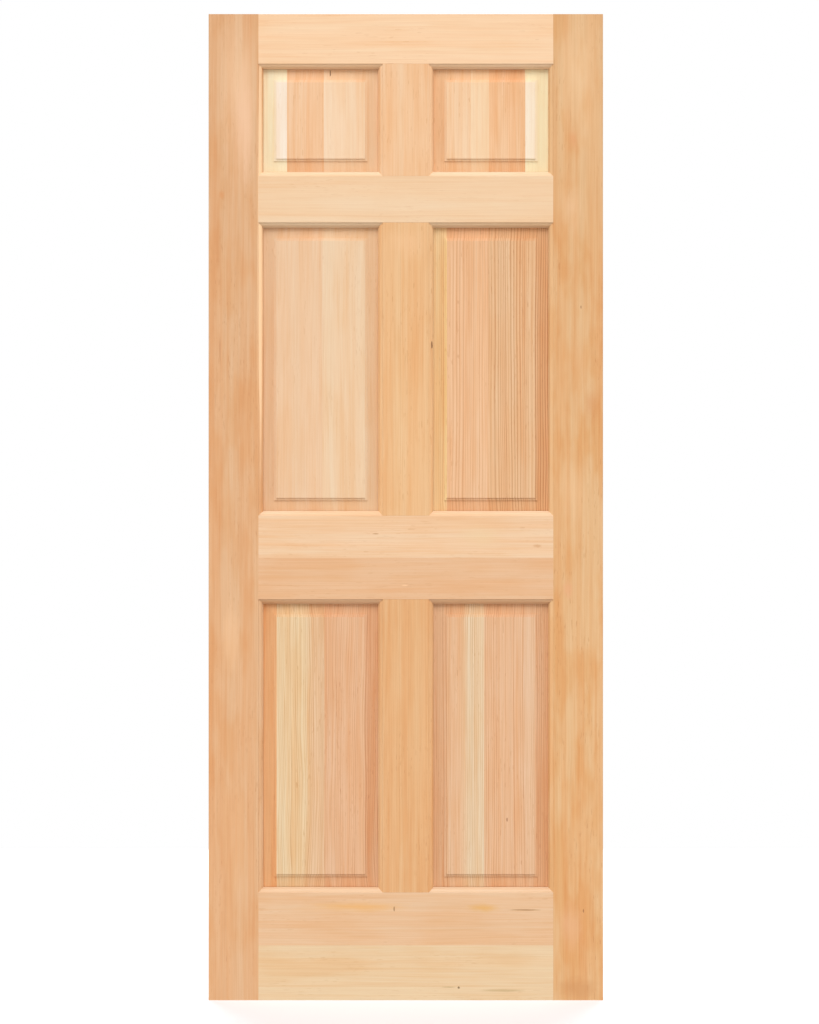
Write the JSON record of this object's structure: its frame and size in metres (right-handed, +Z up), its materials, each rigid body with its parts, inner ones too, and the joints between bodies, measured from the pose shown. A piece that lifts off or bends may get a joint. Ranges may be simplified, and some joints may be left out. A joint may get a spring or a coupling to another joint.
{
  "type": "panelled front door",
  "caption": "Bare stile-and-rail front door slab in unfinished fir, with raised panels in two columns, coped joints and hidden dowels.",
  "frame": {"origin": "under the middle of the bottom edge, at mid thickness", "axes": "+Z up the door, +X across it to the right seen from the front, -Y out of the front face"},
  "size_m": [0.8128, 0.0444, 2.032],
  "materials": {
    "fir_heartwood": "bare, planed and sanded",
    "fir_pale": "bare, planed and sanded",
    "fir_orange": "bare, planed and sanded",
    "fir_sapwood": "bare, planed and sanded",
    "fir_pink": "bare, planed and sanded",
    "fir_yellow": "bare, planed and sanded",
    "beech_dowel": "bare, turned"
  },
  "bodies": {
    "root": {"stile_left": "fir_heartwood", "stile_right": "fir_heartwood", "top_rail": "fir_pale", "frieze_rail": "fir_pale", "lock_rail_upper_board": "fir_pale", "lock_rail_lower_board": "fir_pink", "bottom_rail_upper_board": "fir_pink", "bottom_rail_lower_board": "fir_yellow", "mullion_top": "fir_orange", "mullion_middle": "fir_orange", "mullion_bottom": "fir_heartwood", "panel_top_left_stave_1": "fir_sapwood", "panel_top_left_stave_2": "fir_orange", "panel_top_left_stave_3": "fir_pale", "panel_top_left_stave_4": "fir_pale", "panel_top_right_stave_1": "fir_pale", "panel_top_right_stave_2": "fir_pale", "panel_top_right_stave_3": "fir_orange", "panel_top_right_stave_4": "fir_sapwood", "panel_tall_left_stave_1": "fir_pale", "panel_tall_left_stave_2": "fir_pale", "panel_tall_right_stave_1": "fir_yellow", "panel_tall_right_stave_2": "fir_pink", "panel_tall_right_stave_3": "fir_yellow", "panel_low_left_stave_1": "fir_orange", "panel_low_left_stave_2": "fir_yellow", "panel_low_left_stave_3": "fir_pink", "panel_low_right_stave_1": "fir_pink", "panel_low_right_stave_2": "fir_pink", "top_rail_dowels": "beech_dowel", "frieze_rail_dowels": "beech_dowel", "lock_rail_dowels": "beech_dowel", "bottom_rail_dowels": "beech_dowel", "mullion_dowels": "beech_dowel"}
  },
  "joints": []
}
